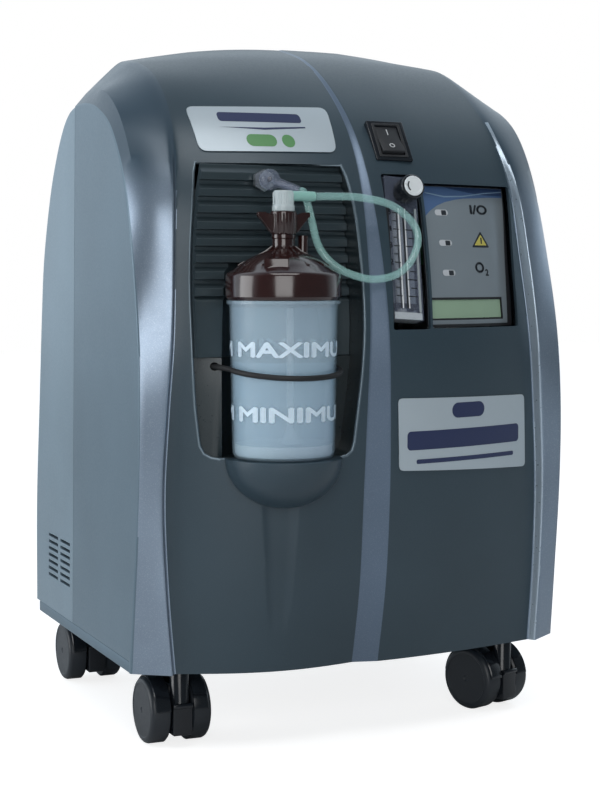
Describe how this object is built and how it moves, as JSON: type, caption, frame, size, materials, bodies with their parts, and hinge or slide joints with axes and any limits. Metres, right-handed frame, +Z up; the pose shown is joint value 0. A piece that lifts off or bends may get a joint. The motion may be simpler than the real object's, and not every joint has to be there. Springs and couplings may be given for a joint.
{
  "type": "oxygen concentrator",
  "caption": "Home oxygen concentrator with a two-part moulded casing on twin-wheel swivel casters, a humidifier bottle in a recess, a flowmeter, a rocker switch and a control panel.",
  "frame": {"origin": "on the floor, under the centre of the bounding box", "axes": "+Z up, -Y towards the front with the bottle and the controls, +X to the right of someone facing the front"},
  "size_m": [0.3446, 0.3535, 0.5181],
  "materials": {
    "bare_metal": "satin",
    "black_plastic": "satin",
    "board": "satin",
    "brown_plastic": "gloss",
    "clear_plastic": "clear",
    "hose": "clear",
    "lcd": "gloss",
    "lens": "gloss",
    "rubber": "matte",
    "slate_plastic": "satin metallic slate",
    "white_plastic": "satin"
  },
  "bodies": {
    "casing": {"bacteria_filter": "white_plastic", "base_tray": "slate_plastic", "bottle_jar": "clear_plastic", "bottle_lid": "brown_plastic", "bottle_shelf": "slate_plastic", "bottle_strap": "rubber", "circuit_board": "board", "control_panel": "white_plastic", "cooling_coil": "bare_metal", "cylinder_head_left": "bare_metal", "cylinder_head_right": "bare_metal", "diffuser_tube": "white_plastic", "display": "lcd", "fan_housing": "black_plastic", "flowmeter_body": "clear_plastic", "front_cover": "slate_plastic", "handle_cup": "black_plastic", "hose_adaptor": "white_plastic", "intake_filter": "white_plastic", "light_pipe": "lens", "louvre_panel": "slate_plastic", "lower_plate": "white_plastic", "motor_housing": "bare_metal", "outlet_elbow": "clear_plastic", "outlet_fitting": "bare_metal", "oxygen_hose": "hose", "power_inlet": "black_plastic", "product_tank": "bare_metal", "rear_cover": "slate_plastic", "recess_liner": "slate_plastic", "sieve_bed_left": "bare_metal", "sieve_bed_right": "bare_metal", "switch_bezel": "black_plastic", "upper_plate": "white_plastic", "valve_block": "bare_metal", "vibration_mount_1": "rubber", "vibration_mount_2": "rubber", "vibration_mount_3": "rubber", "vibration_mount_4": "rubber"},
    "wing_nut": {"wing_nut": "brown_plastic"},
    "switch_rocker": {"switch_rocker": "black_plastic"},
    "flow_knob": {"flow_knob": "black_plastic"},
    "flow_ball": {"flow_ball": "black_plastic"},
    "breaker_button": {"breaker_button": "black_plastic"},
    "air_filter": {"filter_frame": "black_plastic", "filter_foam": "rubber"},
    "fan_rotor": {"fan_rotor": "black_plastic"},
    "motor_rotor": {"motor_rotor": "bare_metal"},
    "caster_front_left_fork": {"caster_front_left_fork": "black_plastic"},
    "caster_front_left_wheel_left": {"caster_front_left_wheel_left": "black_plastic"},
    "caster_front_left_wheel_right": {"caster_front_left_wheel_right": "black_plastic"},
    "caster_front_right_fork": {"caster_front_right_fork": "black_plastic"},
    "caster_front_right_wheel_left": {"caster_front_right_wheel_left": "black_plastic"},
    "caster_front_right_wheel_right": {"caster_front_right_wheel_right": "black_plastic"},
    "caster_rear_left_fork": {"caster_rear_left_fork": "black_plastic"},
    "caster_rear_left_wheel_left": {"caster_rear_left_wheel_left": "black_plastic"},
    "caster_rear_left_wheel_right": {"caster_rear_left_wheel_right": "black_plastic"},
    "caster_rear_right_fork": {"caster_rear_right_fork": "black_plastic"},
    "caster_rear_right_wheel_left": {"caster_rear_right_wheel_left": "black_plastic"},
    "caster_rear_right_wheel_right": {"caster_rear_right_wheel_right": "black_plastic"}
  },
  "joints": [
    {"name": "wing_nut_turn", "type": "hinge", "parent": "casing", "child": "wing_nut", "pos_m": [-0.0744, -0.134, 0.373], "axis": [0, 0, 1], "range_deg": [0, 1170]},
    {"name": "switch_rock", "type": "hinge", "parent": "casing", "child": "switch_rocker", "pos_m": [0.03, -0.0847, 0.4344], "axis": [1, 0, 0], "range_deg": [0, 16]},
    {"name": "flow_knob_turn", "type": "hinge", "parent": "casing", "child": "flow_knob", "pos_m": [0.03052, -0.10818, 0.39651], "axis": [0, -0.9659, 0.2588], "range_deg": [0, 1170]},
    {"name": "flow_ball_rise", "type": "slide", "parent": "casing", "child": "flow_ball", "axis": [0.0663, 0.2583, 0.9638], "range_m": [0, 0.066]},
    {"name": "breaker_press", "type": "slide", "parent": "casing", "child": "breaker_button", "axis": [0, -1, 0], "range_m": [0, 0.003], "stiffness_N_per_m": 300, "springref_m": -0.001},
    {"name": "air_filter_pull", "type": "slide", "parent": "casing", "child": "air_filter", "axis": [0, 1, 0], "range_m": [0, 0.03]},
    {"name": "fan_spin", "type": "hinge", "parent": "casing", "child": "fan_rotor", "pos_m": [0, 0.06, 0.276], "axis": [0, 0, 1], "continuous": true},
    {"name": "motor_spin", "type": "hinge", "parent": "casing", "child": "motor_rotor", "pos_m": [0, 0.06, 0.15], "axis": [1, 0, 0], "continuous": true},
    {"name": "caster_front_left_swivel", "type": "hinge", "parent": "casing", "child": "caster_front_left_fork", "pos_m": [-0.133, -0.08, 0.052], "axis": [0, 0, 1], "continuous": true},
    {"name": "caster_front_left_roll_left", "type": "hinge", "parent": "caster_front_left_fork", "child": "caster_front_left_wheel_left", "pos_m": [-0.133, -0.063, 0.024], "axis": [1, 0, 0], "continuous": true},
    {"name": "caster_front_left_roll_right", "type": "hinge", "parent": "caster_front_left_fork", "child": "caster_front_left_wheel_right", "pos_m": [-0.133, -0.063, 0.024], "axis": [1, 0, 0], "continuous": true},
    {"name": "caster_front_right_swivel", "type": "hinge", "parent": "casing", "child": "caster_front_right_fork", "pos_m": [0.133, -0.08, 0.052], "axis": [0, 0, 1], "continuous": true},
    {"name": "caster_front_right_roll_left", "type": "hinge", "parent": "caster_front_right_fork", "child": "caster_front_right_wheel_left", "pos_m": [0.12775, -0.06383, 0.024], "axis": [0.9511, 0.309, 0], "continuous": true},
    {"name": "caster_front_right_roll_right", "type": "hinge", "parent": "caster_front_right_fork", "child": "caster_front_right_wheel_right", "pos_m": [0.12775, -0.06383, 0.024], "axis": [0.9511, 0.309, 0], "continuous": true},
    {"name": "caster_rear_left_swivel", "type": "hinge", "parent": "casing", "child": "caster_rear_left_fork", "pos_m": [-0.133, 0.1328, 0.052], "axis": [0, 0, 1], "continuous": true},
    {"name": "caster_rear_left_roll_left", "type": "hinge", "parent": "caster_rear_left_fork", "child": "caster_rear_left_wheel_left", "pos_m": [-0.133, 0.1498, 0.024], "axis": [1, 0, 0], "continuous": true},
    {"name": "caster_rear_left_roll_right", "type": "hinge", "parent": "caster_rear_left_fork", "child": "caster_rear_left_wheel_right", "pos_m": [-0.133, 0.1498, 0.024], "axis": [1, 0, 0], "continuous": true},
    {"name": "caster_rear_right_swivel", "type": "hinge", "parent": "casing", "child": "caster_rear_right_fork", "pos_m": [0.133, 0.1328, 0.052], "axis": [0, 0, 1], "continuous": true},
    {"name": "caster_rear_right_roll_left", "type": "hinge", "parent": "caster_rear_right_fork", "child": "caster_rear_right_wheel_left", "pos_m": [0.133, 0.1498, 0.024], "axis": [1, 0, 0], "continuous": true},
    {"name": "caster_rear_right_roll_right", "type": "hinge", "parent": "caster_rear_right_fork", "child": "caster_rear_right_wheel_right", "pos_m": [0.133, 0.1498, 0.024], "axis": [1, 0, 0], "continuous": true}
  ],
  "couplings": [
    {"joint": "flow_knob_turn", "follows": "flow_ball_rise", "rad_per_m": 309.4}
  ]
}
